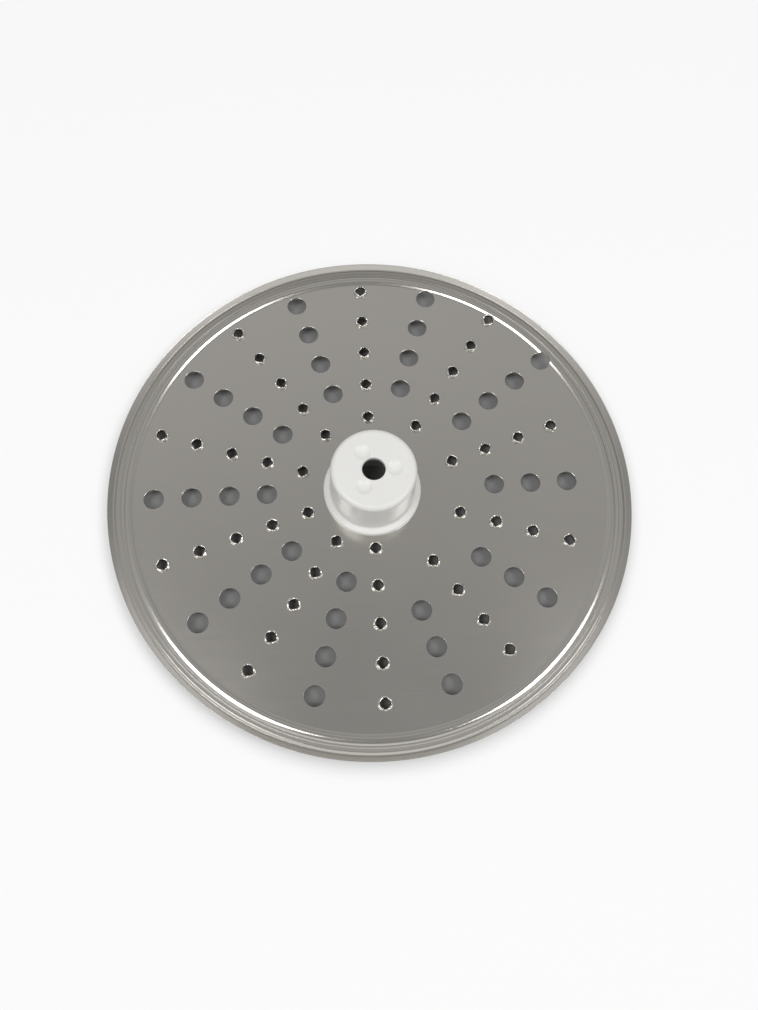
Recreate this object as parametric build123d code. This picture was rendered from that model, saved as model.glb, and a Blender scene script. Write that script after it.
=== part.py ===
from build123d import *
import math
import os

# A grating disc for a food processor: a pressed and punched steel sheet on a moulded hub.
# Millimetres. The origin is the centre of the hub's lower face, with +Z up the drive axis.

# Steel sheet, with a lip that rises to its edge inside a flat valley
disc_radius = 81.0
sheet_thickness = 0.8
lip_width = 1.4
lip_height = 1.3
valley_width = 0.5

# Stiffening ridges inside the valley, each with a longer rise than its fall, the middle one sharp
outer_ridge_height = 0.42
outer_rise_width = 0.9
outer_crest_width = 0.4
outer_fall_width = 0.45
middle_ridge_height = 0.25
middle_rise_width = 0.6
middle_fall_width = 0.25
inner_ridge_height = 0.5
inner_rise_width = 0.95
inner_crest_width = 1.1
inner_fall_width = 0.85

# Spiral rows of teeth and of plain holes, which may reach a little way over the inner ridge
rows_per_turn = 10
spiral_pitch = 11.55
first_row_angle = -90.0
first_tooth_radius = 18.9
first_hole_radius = 30.3
hole_radius = 3.1
ridge_overlap = 1.5

# One punched tooth: a collar of raised steel, torn where the corners of its square opening break through
collar_sides = 12
tooth_height = 1.0
tooth_foot_radius = 2.2
tooth_tip_radius = 2.0
opening_side = 2.95

# Spindle socket, which takes up the hub's inside, with key slots, and the bore for the spindle's tip
socket_radius = 9.6
slot_count = 3
slot_width = 3.0
slot_reach = 1.3
tip_bore_radius = 3.45

# Hub round the socket: a tapered boss with a thin top, and a flange on each side of the sheet
hub_rise = 18.4
hub_wall = 3.5
hub_taper = 0.35
hub_top_thickness = 1.8
hub_top_rounding = 1.5
hub_foot_flare = 0.5
flange_reach = 2.0
flange_rounding = 0.7
upper_flange_thickness = 1.8
lower_flange_thickness = 4.2

# The hub's core fills the sheet's centre hole, and its keys carry the turning force
core_wall = 2.4
core_key_count = 3
core_key_width = 6.0
core_key_reach = 1.2

# Round dents on the hub's top, close beside the bore
dent_count = 3
dent_radius = 2.4
dent_gap = 0.25
dent_depth = 0.6

# Heights, radii and steps that follow from the sizes above
sheet_bottom = lower_flange_thickness
sheet_top = sheet_bottom + sheet_thickness
flange_top = sheet_top + upper_flange_thickness
hub_top = sheet_top + hub_rise
socket_depth = hub_top - hub_top_thickness
core_radius = socket_radius + core_wall
hub_foot_radius = socket_radius + hub_wall
hub_top_radius = hub_foot_radius - hub_taper
flange_radius = hub_foot_radius + flange_reach
dent_circle_radius = tip_bore_radius + dent_gap + dent_radius
outer_foot_radius = disc_radius - lip_width - valley_width
middle_foot_radius = outer_foot_radius - outer_fall_width - outer_crest_width - outer_rise_width
inner_foot_radius = middle_foot_radius - middle_fall_width - middle_rise_width
flat_radius = inner_foot_radius - inner_fall_width - inner_crest_width - inner_rise_width
row_angle = 360 / rows_per_turn
row_step = spiral_pitch / rows_per_turn
cut_margin = 1.0


def sheet_blank():
    """The pressed sheet before piercing, one thickness deep under its upper line."""
    upper_line = [
        (core_radius, sheet_top),
        (flat_radius, sheet_top),
        (flat_radius + inner_rise_width, sheet_top + inner_ridge_height),
        (inner_foot_radius - inner_fall_width, sheet_top + inner_ridge_height),
        (inner_foot_radius, sheet_top),
        (middle_foot_radius - middle_fall_width, sheet_top + middle_ridge_height),
        (middle_foot_radius, sheet_top),
        (middle_foot_radius + outer_rise_width, sheet_top + outer_ridge_height),
        (outer_foot_radius - outer_fall_width, sheet_top + outer_ridge_height),
        (outer_foot_radius, sheet_top),
        (disc_radius - lip_width, sheet_top),
        (disc_radius, sheet_top + lip_height),
    ]
    lower_line = [(radius, height - sheet_thickness) for radius, height in reversed(upper_line)]
    section = make_face(Plane.XZ * Polyline(*upper_line, *lower_line, close=True))
    return revolve(section, Axis.Z, 360)


def round_the_axis(shape, count):
    """Copies of a shape, evenly spaced about the drive axis."""
    return [Rot(0, 0, turn * 360 / count) * shape for turn in range(count)]


def core_keys():
    """The driving keys of the hub's core, as deep as the sheet is thick."""
    reach = core_radius + core_key_reach
    key = Box(reach, core_key_width, sheet_thickness, align=(Align.MIN, Align.CENTER, Align.MIN))
    return round_the_axis(Pos(0, 0, sheet_bottom) * key, core_key_count)


def spiral(first_radius, first_angle, reach):
    """Places on a spiral that winds outwards clockwise, while a feature of that reach has room."""
    last_radius = flat_radius + ridge_overlap - reach
    count = math.floor((last_radius - first_radius) / row_step) + 1
    for index in range(count):
        turn = Rot(0, 0, first_angle - index * row_angle)
        yield turn * Pos(first_radius + index * row_step, 0, sheet_top)


def tooth_collar():
    """The raised steel of one tooth, rooted in the sheet and leaning inwards to its tip."""
    root = sheet_thickness / 4
    lean = math.degrees(math.atan2(tooth_foot_radius - tooth_tip_radius, root + tooth_height))
    outline = RegularPolygon(tooth_foot_radius, collar_sides, major_radius=False, rotation=180 / collar_sides)
    return extrude(Pos(0, 0, -root) * outline, root + tooth_height, taper=lean)


def tooth_opening():
    """The square opening of one tooth, with its corners on the row's line and across it."""
    depth = 2 * (tooth_height + sheet_thickness + cut_margin)
    return Rot(0, 0, 45) * Box(opening_side, opening_side, depth)


def plain_hole():
    """The cut of one plain hole, deep enough for the ridges too."""
    depth = sheet_thickness + inner_ridge_height + 2 * cut_margin
    bottom = -sheet_thickness - cut_margin
    return Pos(0, 0, bottom) * Cylinder(hole_radius, depth, align=(Align.CENTER, Align.CENTER, Align.MIN))


def grating_disc():
    """The pressed sheet with its teeth, plain holes and keyed centre hole."""
    tooth_places = list(spiral(first_tooth_radius, first_row_angle, tooth_foot_radius))
    hole_places = list(spiral(first_hole_radius, first_row_angle - row_angle / 2, hole_radius))
    collar = tooth_collar()
    opening = tooth_opening()
    hole = plain_hole()
    toothed = sheet_blank() + [place * collar for place in tooth_places]
    cuts = [place * opening for place in tooth_places] + [place * hole for place in hole_places]
    return toothed - cuts - core_keys()


def hub_body():
    """The hub's outer form: two flanges, the core between them and a slightly tapered boss."""
    corners = [
        ((0, 0), 0),
        ((flange_radius, 0), 0),
        ((flange_radius, sheet_bottom), 0),
        ((core_radius, sheet_bottom), 0),
        ((core_radius, sheet_top), 0),
        ((flange_radius, sheet_top), 0),
        ((flange_radius, flange_top), flange_rounding),
        ((hub_foot_radius + hub_foot_flare, flange_top), 0),
        ((hub_foot_radius, flange_top + hub_foot_flare), 0),
        ((hub_top_radius, hub_top), hub_top_rounding),
        ((0, hub_top), 0),
    ]
    points = [point for point, rounding in corners]
    roundings = [rounding for point, rounding in corners]
    section = make_face(Plane.XZ * FilletPolyline(*points, radius=roundings, close=True))
    return revolve(section, Axis.Z, 360)


def spindle_socket():
    """The socket with its key slots, and the tip bore that runs on through the hub's top."""
    upwards = (Align.CENTER, Align.CENTER, Align.MIN)
    socket = Cylinder(socket_radius, socket_depth, align=upwards)
    slot = Box(
        socket_radius + slot_reach, slot_width, socket_depth, align=(Align.MIN, Align.CENTER, Align.MIN)
    )
    tip_bore = Cylinder(tip_bore_radius, hub_top + cut_margin, align=upwards)
    return [socket, tip_bore] + round_the_axis(slot, slot_count)


def top_dents():
    """The shallow round dents in the hub's top."""
    dent = Cylinder(dent_radius, dent_depth + cut_margin, align=(Align.CENTER, Align.CENTER, Align.MIN))
    return round_the_axis(Pos(dent_circle_radius, 0, hub_top - dent_depth) * dent, dent_count)


def hub():
    """The moulded hub, which grips the sheet between its flanges."""
    return hub_body() + core_keys() - spindle_socket() - top_dents()


os.makedirs("parts", exist_ok=True)
for name, piece in {"grating_disc": grating_disc(), "hub": hub()}.items():
    export_step(piece, f"parts/{name}.step")
    print(name, len(piece.solids()), "solid", round(piece.volume), "cubic mm")
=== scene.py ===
# %% [markdown]
# # A grating disc for a food processor
# The real disc is one rigid spare part made of two materials: a thin pressed steel sheet, pierced with plain
# holes and punched with torn teeth, and a white hub that is moulded round the sheet's middle.
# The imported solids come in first, as a fixed frame in metres that is never moved. The pieces below stand in
# their places, so the frame's boxes give the main sizes, and named millimetres give the rest.

# %% Load the frame
import math
import random

import bmesh
import bpy
from mathutils import Matrix, Vector


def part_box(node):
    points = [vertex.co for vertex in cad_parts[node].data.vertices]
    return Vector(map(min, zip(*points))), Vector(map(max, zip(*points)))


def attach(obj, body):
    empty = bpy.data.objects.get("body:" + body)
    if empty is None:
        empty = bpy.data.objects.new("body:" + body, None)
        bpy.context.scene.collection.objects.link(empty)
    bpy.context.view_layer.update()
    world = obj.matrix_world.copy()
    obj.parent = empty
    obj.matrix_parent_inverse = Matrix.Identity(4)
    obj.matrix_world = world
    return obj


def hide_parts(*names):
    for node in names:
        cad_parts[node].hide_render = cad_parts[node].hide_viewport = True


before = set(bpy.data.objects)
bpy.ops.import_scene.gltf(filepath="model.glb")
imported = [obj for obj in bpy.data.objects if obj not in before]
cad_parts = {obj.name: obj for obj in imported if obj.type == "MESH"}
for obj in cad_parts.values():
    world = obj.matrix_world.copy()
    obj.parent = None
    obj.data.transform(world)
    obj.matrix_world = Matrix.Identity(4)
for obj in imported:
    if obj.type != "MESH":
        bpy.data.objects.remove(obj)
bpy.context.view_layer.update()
MM = 0.001
sheet_low, sheet_high = (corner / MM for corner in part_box("grating_disc"))
hub_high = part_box("hub")[1] / MM
disc_radius = sheet_high.x
hub_top = hub_high.z
sheet_bottom = sheet_low.z
sheet_thickness = 0.8
sheet_top = sheet_bottom + sheet_thickness
print("nodes", sorted(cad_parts), "disc radius", round(disc_radius, 2), "hub top", round(hub_top, 2))

# %% [markdown]
# ## Camera
# The disc is seen from above its near side, a little from the left, with the camera rolled a few degrees.
# A camera could be aimed with a Track To constraint, but the roll and the off-centre framing are easier to
# state as one chain of turns: round the drive axis, down to the viewing height, round the line of sight, and
# then back along that line from the middle of the sheet.

# %% Camera
VIEW_AZIMUTH = -9.5
VIEW_ELEVATION = 71.74
VIEW_ROLL = 6.38
# Right, up and back from the sheet's middle, in the camera's own directions
LENS_PLACE = Vector((2.12, -4.83, 252.7)) * MM
FOCAL_PIXELS = 811
PHOTO_HEIGHT = 1010
NEAREST_SEEN = 0.01

camera_data = bpy.data.cameras.new("camera")
camera_data.lens = camera_data.sensor_width * FOCAL_PIXELS / PHOTO_HEIGHT
camera_data.clip_start = NEAREST_SEEN
camera = bpy.data.objects.new("camera", camera_data)
bpy.context.collection.objects.link(camera)
camera.matrix_world = (
    Matrix.Translation((0, 0, sheet_top * MM))
    @ Matrix.Rotation(math.radians(VIEW_AZIMUTH), 4, "Z")
    @ Matrix.Rotation(math.radians(90 - VIEW_ELEVATION), 4, "X")
    @ Matrix.Rotation(math.radians(VIEW_ROLL), 4, "Z")
    @ Matrix.Translation(LENS_PLACE)
)
bpy.context.scene.camera = camera
print("camera at", [round(value, 3) for value in camera.matrix_world.translation])

# %% [markdown]
# ## Turned sections
# Both pieces are round about the drive axis, so each starts as half of its section: a line of corners, drawn
# in millimetres beside the axis. A vertex bevel on that bare line rounds its corners as arcs, and one full
# spin turns it into a body. A Screw modifier would do the same, but the spin leaves a plain mesh that the
# punches can cut.

# %% Section, spin and object
ARC_STEPS = 6
WELD = 1e-5


def section(corners, steps=ARC_STEPS, closed=True):
    """A line through (radius, height, rounding) corners, with each rounding made an arc."""
    shape = bmesh.new()
    points = [shape.verts.new((radius, 0, height)) for radius, height, rounding in corners]
    following = points[1:] + points[:1] if closed else points[1:]
    for pair in zip(points, following):
        shape.edges.new(pair)
    for point, (radius, height, rounding) in zip(points, corners):
        if rounding:
            bmesh.ops.bevel(
                shape, geom=[point], offset=rounding, offset_type="OFFSET", affect="VERTICES",
                segments=steps, profile=0.5, material=-1,
            )
    return shape


def spun(shape, steps):
    """Spins a section once round the drive axis and points its faces outwards."""
    bmesh.ops.spin(
        shape, geom=shape.verts[:] + shape.edges[:], cent=(0, 0, 0), axis=(0, 0, 1),
        angle=math.tau, steps=steps, use_merge=True,
    )
    bmesh.ops.remove_doubles(shape, verts=shape.verts, dist=WELD)
    bmesh.ops.dissolve_degenerate(shape, edges=shape.edges, dist=WELD)
    bmesh.ops.recalc_face_normals(shape, faces=shape.faces)
    return shape


def new_object(name, shape):
    """Puts a bmesh into a new object at the origin and frees it."""
    mesh = bpy.data.meshes.new(name)
    shape.to_mesh(mesh)
    shape.free()
    made = bpy.data.objects.new(name, mesh)
    bpy.context.collection.objects.link(made)
    return made


print("a rounded corner is an arc of", ARC_STEPS, "steps")

# %% [markdown]
# ## Punches
# The plain holes, the teeth's openings and the hub's marks are all places where something round is taken
# out of a body. Each punch is itself a turned section. Where the cut's edge is to be soft, the punch widens
# by a small arc at the face. The punches for one cut are gathered in one mesh, and an exact Boolean takes
# them all away together. Bevelling the cut edges afterwards would be the other way, but a bevel stumbles
# over the slivers that a cut leaves on curved ground.

# %% Punch
PUNCH_STEPS = 48
PUNCH_CLEAR = 0.005
CUT_MARGIN = 1.0


def punch(radius, depth, edge):
    """A round punch, that deep below a face at height 0, which flares by an arc of that edge at the face."""
    corners = [(0, -depth, 0), (radius, -depth, 0)]
    if edge:
        corners.append((radius, -edge, 0))
        for step in range(1, ARC_STEPS + 1):
            turn = math.pi / 2 * step / ARC_STEPS
            height = PUNCH_CLEAR - edge + edge * math.sin(turn)
            corners.append((radius + edge - edge * math.cos(turn), height, 0))
    else:
        corners.append((radius, PUNCH_CLEAR, 0))
    corners.append((radius + edge, CUT_MARGIN, 0))
    corners.append((0, CUT_MARGIN, 0))
    return spun(section(corners), PUNCH_STEPS)


print("a punch has", PUNCH_STEPS, "sides")

# %% Copies, joined and cut


def copies(shape, places):
    """One bmesh with a copy of a shape at each place."""
    mesh = bpy.data.meshes.new("copied")
    shape.to_mesh(mesh)
    shape.free()
    together = bmesh.new()
    for place in places:
        before = len(together.verts)
        together.from_mesh(mesh)
        together.verts.ensure_lookup_table()
        bmesh.ops.transform(together, matrix=place, verts=together.verts[before:])
    bpy.data.meshes.remove(mesh)
    return together


def joined(*shapes):
    """One bmesh that holds several."""
    together = bmesh.new()
    for shape in shapes:
        mesh = bpy.data.meshes.new("joined")
        shape.to_mesh(mesh)
        shape.free()
        together.from_mesh(mesh)
        bpy.data.meshes.remove(mesh)
    return together


def cut(body, punches):
    """Takes the punches out of a body and returns what is left."""
    blank = new_object("blank", body)
    tool = new_object("punches", punches)
    boolean = blank.modifiers.new("cut", "BOOLEAN")
    boolean.operation = "DIFFERENCE"
    boolean.solver = "EXACT"
    boolean.object = tool
    evaluated = blank.evaluated_get(bpy.context.evaluated_depsgraph_get())
    left = bmesh.new()
    left.from_mesh(evaluated.to_mesh())
    evaluated.to_mesh_clear()
    for used in (blank, tool):
        mesh = used.data
        bpy.data.objects.remove(used)
        bpy.data.meshes.remove(mesh)
    return left


print("a punch stands", CUT_MARGIN, "mm clear of what it cuts")

# %% [markdown]
# ## Pressed sheet
# The sheet is flat out to three fine ridges, pressed one beside the next, and ends in a lip that rises to its
# edge. The ridges stiffen it, and they carry most of its look, because each one catches the lamps as a thin
# bright ring. The rim is a row of steps outwards from the flat. Each step's end lies close to a corner of
# the solid, moved by about 0.2 mm at most to where its ring of light belongs, and is rounded as a press
# leaves it. The lower face follows the upper one at the sheet's thickness.

# %% Sheet blank
core_radius = 12.0
flat_radius = 73.6
flat_rounding = 0.25
lip_height = sheet_high.z - sheet_top
lip_rounding = 0.2
SHEET_STEPS = 180
# The width of each step outwards, the rise that it ends at and the rounding there
rim_steps = {
    "inner ridge rises": (0.95, 0.5, 0.3),
    "inner ridge's crest": (1.3, 0.5, 0.76),
    "inner ridge falls": (0.8, 0.02, 0.02),
    "middle ridge rises": (0.47, 0.23, 0.02),
    "middle ridge falls": (0.33, 0.08, 0.015),
    "outer ridge rises": (0.8, 0.36, 0.05),
    "outer ridge's crest": (0.2, 0.36, 0.04),
    "outer ridge falls": (0.75, 0.02, 0.015),
    "valley": (0.4, 0.02, 0.04),
}


def upper_line():
    """The corners of the sheet's upper face, from the hub's core out to the lip's edge."""
    line = [(core_radius, sheet_top, 0), (flat_radius, sheet_top, flat_rounding)]
    radius = flat_radius
    for width, rise, rounding in rim_steps.values():
        radius += width
        line.append((radius, sheet_top + rise, rounding))
    line.append((disc_radius, sheet_top + lip_height, lip_rounding))
    return line


upper = upper_line()
lower = [(radius, height - sheet_thickness, rounding) for radius, height, rounding in reversed(upper)]
sheet_blank = spun(section(upper + lower), SHEET_STEPS)
print("sheet blank: flat to", flat_radius, "mm, then", len(rim_steps), "steps and a lip")

# %% [markdown]
# ## Spiral rows
# Ten rows of teeth and ten rows of plain holes alternate round the disc. Both follow a spiral: from one row
# to the next the places step outwards by a tenth of the spiral's pitch, so that together they sweep the whole
# face. An Array modifier only steps evenly, so a short loop works out each place as a matrix.

# %% Places of the teeth and holes
rows_per_turn = 10
spiral_pitch = 11.55
first_row_angle = -90
first_tooth_radius = 18.9
first_hole_radius = 30.3
row_angle = 360 / rows_per_turn
row_step = spiral_pitch / rows_per_turn
ridge_overlap = 1.5
hole_radius = 3.1
tooth_foot_radius = 2.2


def spiral(first_radius, first_angle, reach):
    """Places on a spiral that winds outwards clockwise, each turned to face outwards."""
    places = []
    radius = first_radius
    while radius <= flat_radius + ridge_overlap - reach:
        turn = Matrix.Rotation(math.radians(first_angle - len(places) * row_angle), 4, "Z")
        places.append(turn @ Matrix.Translation((radius, 0, sheet_top)))
        radius += row_step
    return places


tooth_places = spiral(first_tooth_radius, first_row_angle, tooth_foot_radius)
hole_places = spiral(first_hole_radius, first_row_angle - row_angle / 2, hole_radius)
print(len(tooth_places), "teeth and", len(hole_places), "plain holes")

# %% [markdown]
# ## Piercing
# A press pierces the sheet and draws the upper edge of each plain hole in a little, so those punches flare.
# The teeth need no such edge: they only leave a round gap, a little narrower than the collar that fills it,
# so that the collar's foot runs into the sheet all round.

# %% Pierce the sheet
hole_edge = 0.12
punch_depth = sheet_thickness + CUT_MARGIN
hole_punches = copies(punch(hole_radius, punch_depth, hole_edge), hole_places)
tooth_punches = copies(punch(tooth_foot_radius, punch_depth, 0), tooth_places)
pierced_sheet = cut(sheet_blank, joined(hole_punches, tooth_punches))
print("pierced sheet:", len(pierced_sheet.faces), "faces")

# %% [markdown]
# ## Torn teeth
# A pointed square punch is driven up through the sheet. The steel stands up round it in a low collar, which
# is round outside, square inside, and torn at the square's corners, where it is thinnest. A spun section
# gives the collar's wall, its foot and the edge that is drawn in underneath. Its points then move: the inner
# ones onto the square, and the upper ones down into the tears and along a ragged lip. Seeded random numbers
# shape every lip, so that no two teeth are alike and each catches the light in its own way.

# %% Collar section
collar_height = 0.95
collar_wall_radius = 2.17
collar_foot_rounding = 0.08
collar_lip_radius = 2.14
collar_lip_fall = 0.06
collar_lip_rounding = 0.3
collar_joint = 0.06
collar_joint_depth = 0.012
mouth_radius = 1.34
mouth_flare = 0.1
throat_rounding = 0.2
entry_radius = 1.9
COLLAR_ARC_STEPS = 3


def collar_section():
    """The collar's wall, from its foot on the sheet over the lip and down to the drawn-in lower edge."""
    outside = tooth_foot_radius + collar_joint
    corners = [
        (outside, -collar_joint_depth, 0),
        (collar_wall_radius, 0, collar_foot_rounding),
        (collar_lip_radius, collar_height - collar_lip_fall, collar_lip_rounding),
        (mouth_radius + mouth_flare, collar_height, collar_lip_rounding),
        (mouth_radius, 0, 0),
        (mouth_radius, -sheet_thickness / 2, throat_rounding),
        (entry_radius, -sheet_thickness, 0),
        (outside, -sheet_thickness, 0),
    ]
    return section(corners, COLLAR_ARC_STEPS)


print("a collar is", collar_height, "mm high with a mouth", 2 * mouth_radius, "mm across")

# %% Tears and waves
SEED = 7
CORNERS = 4
SQUARE_POWER = 3.6
TEAR_SHIFT = 0.08
TEAR_DEPTHS = (0.45, 0.85)
TEAR_WIDTHS = (0.2, 0.36)
LIP_SHARE = 0.9
WAVE_SIZE = 0.05
WAVE_SPREAD = 5
RAGGED_RATES = (1, 2, 3, 5, 7, 11)
chance = random.Random(SEED)


def square_stretch(angle):
    """How many times further than its sides a rounded square reaches at an angle, with a corner at 0."""
    turned = angle - math.pi / CORNERS
    total = abs(math.cos(turned)) ** SQUARE_POWER + abs(math.sin(turned)) ** SQUARE_POWER
    return total ** (-1 / SQUARE_POWER)


def wavy(rates):
    """A function that gives an uneven wave round a circle, as a sum of waves of random size."""
    waves = []
    for rate in rates:
        size = chance.uniform(WAVE_SIZE / WAVE_SPREAD, WAVE_SIZE)
        waves.append((rate, size, chance.uniform(0, math.tau)))
    return lambda angle: sum(size * math.sin(rate * angle + phase) for rate, size, phase in waves)


def torn_lip():
    """A function that gives the share of its height that one collar keeps at an angle."""
    tears = []
    for corner in range(CORNERS):
        middle = math.tau * corner / CORNERS + chance.gauss(0, TEAR_SHIFT)
        tears.append((middle, chance.uniform(*TEAR_DEPTHS), chance.uniform(*TEAR_WIDTHS)))
    ragged = wavy(RAGGED_RATES)

    def kept(angle):
        share = LIP_SHARE
        for middle, depth, width in tears:
            away = abs(math.remainder(angle - middle, math.tau))
            share -= depth * max(0, 1 - away / width)
        return share + ragged(angle)

    return kept


print("each lip has", CORNERS, "tears and", len(RAGGED_RATES), "waves")

# %% Torn collars
COLLAR_STEPS = 52
MOUTH_RATES = (1, 2, 3, 5)
LEAN = 0.03
thinnest_lip = 0.03


def torn_collar():
    """One collar with its own tears, ragged lip, uneven mouth and lean."""
    shape = spun(collar_section(), COLLAR_STEPS)
    kept = torn_lip()
    uneven = wavy(MOUTH_RATES)
    lean = (chance.gauss(0, LEAN), chance.gauss(0, LEAN))
    limit = collar_lip_radius - thinnest_lip
    for point in shape.verts:
        angle = math.atan2(point.co.y, point.co.x)
        radius = math.hypot(point.co.x, point.co.y)
        if radius < entry_radius - WELD:
            inner = min((entry_radius - radius) / (entry_radius - mouth_radius), 1)
            reach = min(radius * square_stretch(angle) * (1 + uneven(angle)), limit)
            radius += (reach - radius) * inner
        if point.co.z > 0:
            point.co.z *= kept(angle)
        rise = max(point.co.z, 0)
        point.co.x = radius * math.cos(angle) + lean[0] * rise
        point.co.y = radius * math.sin(angle) + lean[1] * rise
    return shape


collars = joined(*(copies(torn_collar(), [place]) for place in tooth_places))
print("collars:", len(collars.faces), "faces round", len(tooth_places), "openings")

# %% [markdown]
# ## Finished sheet
# The collars join the pierced sheet in one mesh. The flat faces keep flat shading, because the long slivers
# between the holes would bend any smoothed normal and the steel would show it at once. All the rest is
# smooth, with the edges past a set angle kept crisp.

# %% Sheet object
CRISP_ANGLE = math.radians(38)
FLAT_NORMAL = 0.99995


def finished(name, shape, node):
    """Scales a shape to metres, sets its shading and makes it stand for its node."""
    bmesh.ops.scale(shape, vec=(MM, MM, MM), verts=shape.verts)
    for face in shape.faces:
        face.smooth = abs(face.normal.z) < FLAT_NORMAL
    for edge in shape.edges:
        edge.smooth = edge.calc_face_angle(0) < CRISP_ANGLE
    made = new_object(name, shape)
    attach(made, "root")
    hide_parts(node)
    made.data.calc_loop_triangles()
    print(name, len(made.data.loop_triangles), "triangles")
    return made


grating_sheet = finished("grating_sheet", joined(pierced_sheet, collars), "grating_disc")

# %% [markdown]
# ## Hub
# The hub is moulded in one shot: a drum that tapers a little, a flange above and below the sheet, a socket
# for the spindle from beneath and a bore for its tip on top. Plastic fills a mould better round a soft
# corner, so most corners are rounded. A cylinder with insets and bevels could become the same form, but one
# turned section shows every size at a glance.

# %% Hub section
flange_radius = hub_high.x
flange_rounding = 0.7
upper_flange_thickness = 1.8
seat_rounding = 0.2
hub_foot_radius = 13.1
hub_foot_rounding = 0.8
hub_top_radius = 12.75
hub_top_rounding = 1.5
hub_top_thickness = 1.8
lower_face_rounding = 0.5
socket_radius = 9.6
socket_roof_rounding = 0.8
tip_bore_radius = 3.45
tip_bore_rounding = 0.25
flange_top = sheet_top + upper_flange_thickness
socket_depth = hub_top - hub_top_thickness
HUB_STEPS = 128
hub_corners = [
    (tip_bore_radius, hub_top, tip_bore_rounding),
    (hub_top_radius, hub_top, hub_top_rounding),
    (hub_foot_radius, flange_top, hub_foot_rounding),
    (flange_radius, flange_top, flange_rounding),
    (flange_radius, sheet_top, 0),
    (core_radius, sheet_top, 0),
    (core_radius, sheet_bottom, 0),
    (flange_radius, sheet_bottom, seat_rounding),
    (flange_radius, 0, lower_face_rounding),
    (socket_radius, 0, lower_face_rounding),
    (socket_radius, socket_depth, socket_roof_rounding),
    (tip_bore_radius, socket_depth, tip_bore_rounding),
]
hub_blank = spun(section(hub_corners), HUB_STEPS)
print("hub blank:", len(hub_blank.faces), "faces")

# %% [markdown]
# ## Key slots and dents
# Three slots in the socket's wall take the spindle's keys. Each is a plain block, cut from the axis outwards.
# The three shallow round marks on top look like those that a mould's ejector pins leave. A ball pressed into
# clay leaves the same form, so a punch with a ball's round end makes them.

# %% Key slots and dents
slot_count = 3
slot_width = 3.0
slot_reach = 1.3
dent_count = 3
dent_radius = 2.4
dent_circle_radius = 6.1
dent_depth = 0.65
DENT_RINGS = 8


def turns(count):
    """Even turns round the drive axis."""
    return [Matrix.Rotation(math.tau * turn / count, 4, "Z") for turn in range(count)]


def key_slot():
    """A block that reaches from the axis out past the socket's wall, up to the socket's roof."""
    block = bmesh.new()
    bmesh.ops.create_cube(block, size=1)
    length = socket_radius + slot_reach
    height = socket_depth + CUT_MARGIN
    bmesh.ops.scale(block, vec=(length, slot_width, height), verts=block.verts)
    bmesh.ops.translate(block, vec=(length / 2, 0, height / 2 - CUT_MARGIN), verts=block.verts)
    return block


def ball_punch(radius, depth):
    """A punch with a ball's round end, which leaves a shallow dent of that radius and depth."""
    ball = (radius * radius + depth * depth) / (2 * depth)
    reach = math.asin(radius / ball)
    corners = []
    for ring in range(DENT_RINGS + 1):
        turn = reach * ring / DENT_RINGS
        corners.append((ball * math.sin(turn), ball * (1 - math.cos(turn)) - depth + PUNCH_CLEAR, 0))
    corners.append((radius, CUT_MARGIN, 0))
    corners.append((0, CUT_MARGIN, 0))
    return spun(section(corners), PUNCH_STEPS)


dent_places = [turn @ Matrix.Translation((dent_circle_radius, 0, hub_top)) for turn in turns(dent_count)]
dent_punches = copies(ball_punch(dent_radius, dent_depth), dent_places)
hub_shape = cut(hub_blank, copies(key_slot(), turns(slot_count)))
hub_shape = cut(hub_shape, dent_punches)
hub = finished("moulded_hub", hub_shape, "hub")

# %% [markdown]
# ## Shader maths
# Node trees are easier to read as sums than as boxes and wires. This small class holds one output socket:
# arithmetic on it adds Math nodes, and its node method adds any other node, sets it up and links its sockets.

# %% Wire class


class Wire:
    """An output socket of a node tree, for shader maths in plain Python."""

    def __init__(self, tree, socket=None):
        self.tree = tree
        self.socket = socket

    def node(self, kind, settings=(), sockets=(), output=0):
        made = self.tree.nodes.new(kind)
        for name, value in dict(settings).items():
            if name == "stops":
                self.set_stops(made.color_ramp.elements, value)
            else:
                setattr(made, name, value)
        for name, value in dict(sockets).items():
            if isinstance(value, Wire):
                self.tree.links.new(value.socket, made.inputs[name])
            else:
                made.inputs[name].default_value = value
        return Wire(self.tree, made.outputs[output])

    def set_stops(self, elements, stops):
        while len(elements) < len(stops):
            elements.new(0)
        for element, (position, grey) in zip(elements, stops):
            element.position = position
            element.color = (grey, grey, grey, 1)

    def math(self, operation, *values):
        return self.node("ShaderNodeMath", {"operation": operation}, enumerate(values))

    def __add__(self, other):
        return self.math("ADD", self, other)

    def __radd__(self, other):
        return self.math("ADD", other, self)

    def __sub__(self, other):
        return self.math("SUBTRACT", self, other)

    def __rsub__(self, other):
        return self.math("SUBTRACT", other, self)

    def __mul__(self, other):
        return self.math("MULTIPLY", self, other)

    def __rmul__(self, other):
        return self.math("MULTIPLY", other, self)


print("wires add Math nodes for + - *")

# %% Finishes and their nodes


def new_finish(name, piece, constants):
    """A Principled material with its constants set, put on a piece. Returns its shader and a bare wire."""
    material = bpy.data.materials.new(name)
    material.use_nodes = True
    tree = material.node_tree
    shader = tree.nodes["Principled BSDF"]
    for socket, value in constants.items():
        shader.inputs[socket].default_value = value
    piece.data.materials.append(material)
    return shader, Wire(tree)


def feed(shader, socket, wire):
    """Links a wire to one of the shader's sockets."""
    wire.tree.links.new(wire.socket, shader.inputs[socket])


def noise(vector, scale, detail=2):
    """Plain noise on a vector, from 0 to 1."""
    return vector.node("ShaderNodeTexNoise", sockets={"Vector": vector, "Scale": scale, "Detail": detail})


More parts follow.
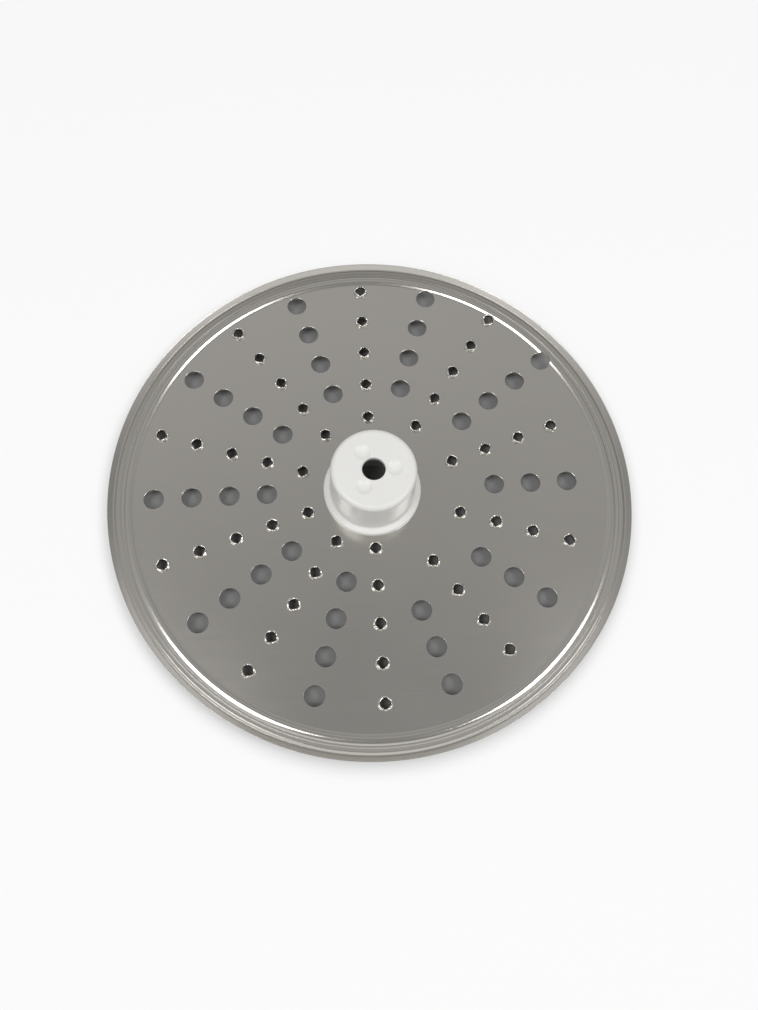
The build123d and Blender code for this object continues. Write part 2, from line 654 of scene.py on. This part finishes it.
def smooth_rise(value, low, high):
    """A smooth rise from 0 to 1 while a value goes from low to high."""
    sockets = {"Value": value, "From Min": low, "From Max": high}
    return value.node("ShaderNodeMapRange", {"interpolation_type": "SMOOTHSTEP"}, sockets)


def between(first, second, share):
    """A colour between two others, by the share of the second one."""
    sockets = {"Factor": share, "A": first, "B": second}
    return share.node("ShaderNodeMix", {"data_type": "RGBA"}, sockets, output="Result")


def bumped(height, strength, distance):
    """A normal tilted by a height from 0 to 1, which stands for a distance in metres."""
    sockets = {"Height": height, "Strength": strength, "Distance": distance}
    return height.node("ShaderNodeBump", sockets=sockets, output="Normal")


print("finishes are Principled materials with a few fed sockets")

# %% [markdown]
# ## Rolled steel
# The sheet is cold-rolled stainless: a grey mirror blurred by fine grain. On the flat the grain runs
# straight, as it came from the mill, and on the pressed rim it runs round, as the press dragged it. Two noise
# textures make the two grains, stretched along their lines, and the distance from the axis picks between
# them. The grain only nudges the roughness, the colour and a very low bump. An anisotropic shader would
# stretch the reflections too, but so smooth a sheet hardly does that.

# %% Steel grain
GRAIN_STRETCH = 0.02
MILL_FINENESS = 2500
MILL_DETAIL = 3
PRESS_FINENESS = 3500
SMEAR_FINENESS = 28
rim_blend = 0.3
steel_shader, steel = new_finish("rolled_steel", grating_sheet, {"Metallic": 1.0})
on_steel = steel.node("ShaderNodeTexCoord", output="Object")
across = steel.node("ShaderNodeSeparateXYZ", sockets={0: on_steel}, output="X")
along = steel.node("ShaderNodeSeparateXYZ", sockets={0: on_steel}, output="Y")
from_axis = steel.math("SQRT", across * across + along * along)
on_rim = smooth_rise(from_axis, (flat_radius - rim_blend) * MM, (flat_radius + rim_blend) * MM)
long_across = across * GRAIN_STRETCH
long_along = along * GRAIN_STRETCH
mill_lines = steel.node("ShaderNodeCombineXYZ", sockets={0: long_across, 1: along})
press_lines = steel.node("ShaderNodeCombineXYZ", sockets={0: from_axis, 1: long_across, 2: long_along})
mill_grain = noise(mill_lines, MILL_FINENESS, MILL_DETAIL)
press_grain = noise(press_lines, PRESS_FINENESS)
grain = mill_grain + (press_grain - mill_grain) * on_rim
smears = noise(on_steel, SMEAR_FINENESS)
print("steel grain:", len(steel.tree.nodes), "nodes")

# %% Steel
STEEL_DARK = (0.565, 0.543, 0.505, 1)
STEEL_LIGHT = (0.615, 0.592, 0.552, 1)
GRAIN_SHARE = 0.6
SMEAR_SHARE = 0.4
STEEL_ROUGHNESS = 0.1
GRAIN_ROUGHNESS = 0.06
SMEAR_ROUGHNESS = 0.06
GRAIN_BUMP = 0.06
GRAIN_DEPTH = 0.00001
feed(steel_shader, "Roughness", STEEL_ROUGHNESS + grain * GRAIN_ROUGHNESS + smears * SMEAR_ROUGHNESS)
steel_tint = between(STEEL_DARK, STEEL_LIGHT, grain * GRAIN_SHARE + smears * SMEAR_SHARE)
feed(steel_shader, "Base Color", steel_tint)
feed(steel_shader, "Normal", bumped(grain, GRAIN_BUMP, GRAIN_DEPTH))
print("rolled steel:", len(steel.tree.nodes), "nodes")

# %% [markdown]
# ## White plastic
# The hub is a white moulded plastic with a soft sheen. Moulded skin is never quite even, so a fine noise
# breaks its gloss and lifts a barely seen texture, and a broad one shifts its white a little. Subsurface
# scattering could soften it further, but at this size that would hardly show.

# %% Plastic
PLASTIC_IOR = 1.49
PLASTIC_DULL = (0.835, 0.83, 0.802, 1)
PLASTIC_WHITE = (0.865, 0.86, 0.836, 1)
PLASTIC_ROUGHNESS = 0.3
SKIN_FINENESS = 2600
SKIN_ROUGHNESS = 0.08
SKIN_BUMP = 0.1
SKIN_DEPTH = 0.00003
CLOUD_FINENESS = 120
CLOUD_ROUGHNESS = 0.06
plastic_shader, plastic = new_finish("white_plastic", hub, {"IOR": PLASTIC_IOR})
on_plastic = plastic.node("ShaderNodeTexCoord", output="Object")
skin = noise(on_plastic, SKIN_FINENESS)
cloud = noise(on_plastic, CLOUD_FINENESS)
feed(plastic_shader, "Roughness", PLASTIC_ROUGHNESS + skin * SKIN_ROUGHNESS + cloud * CLOUD_ROUGHNESS)
feed(plastic_shader, "Base Color", between(PLASTIC_DULL, PLASTIC_WHITE, cloud))
feed(plastic_shader, "Normal", bumped(skin, SKIN_BUMP, SKIN_DEPTH))
print("white plastic:", len(plastic.tree.nodes), "nodes")

# %% [markdown]
# ## Floor
# A studio lays a small object on a broad sheet that curves up into a backdrop, so that no edge shows behind
# it. Here that is one open line, a floor and a wall with a round bend, spun about the drive axis. Its paint
# is a plain grey, which throws little light back at the disc. White comes from a glow that shows only to
# the camera, in mirror images and through clear things, so that it adds no other light. The glow fades out
# by distance from the axis across the disc's edge, which paints a soft shade on the floor round and under
# the disc; a floor that glowed there would shine through the holes and hide the disc's shade.

# %% Floor
FLOOR_RADIUS = 4.0
BACKDROP_HEIGHT = 1.42
SWEEP = 1.2
SWEEP_STEPS = 16
FLOOR_STEPS = 96
FLOOR_GREY = (0.34, 0.34, 0.34, 1)
FLOOR_ROUGHNESS = 0.9
FLOOR_GLOW = 0.64
# Painted shade round the disc: the floor's glow rises from none at GLOW_START from the axis to full at
# GLOW_FULL
GLOW_START = 0.074
GLOW_FULL = 0.087
floor_corners = [(0, 0, 0), (FLOOR_RADIUS, 0, SWEEP), (FLOOR_RADIUS, BACKDROP_HEIGHT, 0)]
floor_shape = spun(section(floor_corners, SWEEP_STEPS, closed=False), FLOOR_STEPS)
for face in floor_shape.faces:
    face.smooth = abs(face.normal.z) < FLAT_NORMAL
floor = new_object("floor", floor_shape)
floor_look = {"Base Color": FLOOR_GREY, "Roughness": FLOOR_ROUGHNESS, "Emission Strength": FLOOR_GLOW}
floor_shader, paint = new_finish("pale_floor", floor, floor_look)
on_floor = paint.node("ShaderNodeTexCoord", output="Object")
out_from_axis = paint.node("ShaderNodeVectorMath", {"operation": "LENGTH"}, {0: on_floor}, output="Value")
# Painted shade: the glow fades to nothing between 87 and 74 mm from the axis, so the floor is darker round
# and under the disc's edge
glow_past_painted_shade = smooth_rise(out_from_axis, GLOW_START, GLOW_FULL)
seen = paint.node("ShaderNodeLightPath", output="Is Camera Ray")
mirrored = paint.node("ShaderNodeLightPath", output="Is Glossy Ray")
through = paint.node("ShaderNodeLightPath", output="Is Transmission Ray")
looked_at = paint.math("MAXIMUM", paint.math("MAXIMUM", seen, mirrored), through)
feed(floor_shader, "Emission Color", glow_past_painted_shade * looked_at)
print("floor radius", FLOOR_RADIUS, "m, backdrop", BACKDROP_HEIGHT, "m high")

# %% [markdown]
# ## Soft boxes
# Two square lamps hang high over the disc, one on the left and one on the right, both a little towards the
# viewer. The curved ridges mirror each of them as a bright arc, and a small lamp would leave only a glint.
# Their directions are given in the view's own turn, so that they follow the camera's azimuth.

# %% Soft boxes
LAMP_DISTANCE = 1.2
aim = Vector((0, 0, sheet_top * MM))
view_turn = Matrix.Rotation(math.radians(VIEW_AZIMUTH), 3, "Z")


def soft_box(name, towards, size, power):
    """A square lamp in a direction given in the view's own turn, facing the disc."""
    lamp = bpy.data.lights.new(name, "AREA")
    lamp.size = size
    lamp.energy = power
    made = bpy.data.objects.new(name, lamp)
    direction = (view_turn @ Vector(towards)).normalized()
    made.location = aim + direction * LAMP_DISTANCE
    made.rotation_mode = "QUATERNION"
    made.rotation_quaternion = direction.to_track_quat("Z", "Y")
    bpy.context.collection.objects.link(made)


soft_box("left_lamp", towards=(-0.34, -0.28, 0.90), size=0.48, power=4.4)
soft_box("right_lamp", towards=(0.50, -0.11, 0.86), size=0.42, power=3.9)
print("two soft boxes at", LAMP_DISTANCE, "m")

# %% [markdown]
# ## Surroundings
# Steel shows what is round it, so the surroundings matter as much as the lamps. The flat sheet mirrors the
# upper sky and takes its grey from there. The near side of the rim leans towards the viewer and mirrors the
# sky behind them, where a paler band draws long light lines on the ridges. A picture of a room would do the
# same, but two ramps over the height of the sky are easier to tune.

# %% Surroundings
# The height in the sky and the brightness there
SKY_STOPS = [(0.0, 0.27), (0.6, 0.3), (0.85, 0.42), (0.96, 0.37), (1.0, 0.32)]
BAND_STOPS = [(0.38, 0.0), (0.5, 1.0), (0.72, 1.0), (0.8, 0.0)]
BAND_REACH = 0.3
BAND_GLOW = 1.9
SIDE_FADE = 0.1
NEAR_FADE = 0.48
world = bpy.data.worlds.new("surroundings")
bpy.context.scene.world = world
world.use_nodes = True
sky = Wire(world.node_tree)
heading = sky.node("ShaderNodeTexCoord", output="Generated")
height = sky.node("ShaderNodeSeparateXYZ", sockets={0: heading}, output="Z")
side = sky.node("ShaderNodeSeparateXYZ", sockets={0: heading}, output="X")
away = sky.node("ShaderNodeSeparateXYZ", sockets={0: heading}, output="Y")
grey_sky = sky.node("ShaderNodeValToRGB", {"stops": SKY_STOPS}, {"Fac": height})
band = sky.node("ShaderNodeValToRGB", {"stops": BAND_STOPS}, {"Fac": height})
behind = sky.math("MAXIMUM", BAND_REACH - away, 0)
background = world.node_tree.nodes["Background"]
feed(background, "Color", grey_sky)
feed(background, "Strength", 1 - side * SIDE_FADE + away * NEAR_FADE + band * behind * BAND_GLOW)
bpy.context.scene.view_settings.view_transform = "Standard"
print("surroundings: a grey sky of", len(SKY_STOPS), "tones and a paler band behind the viewer")
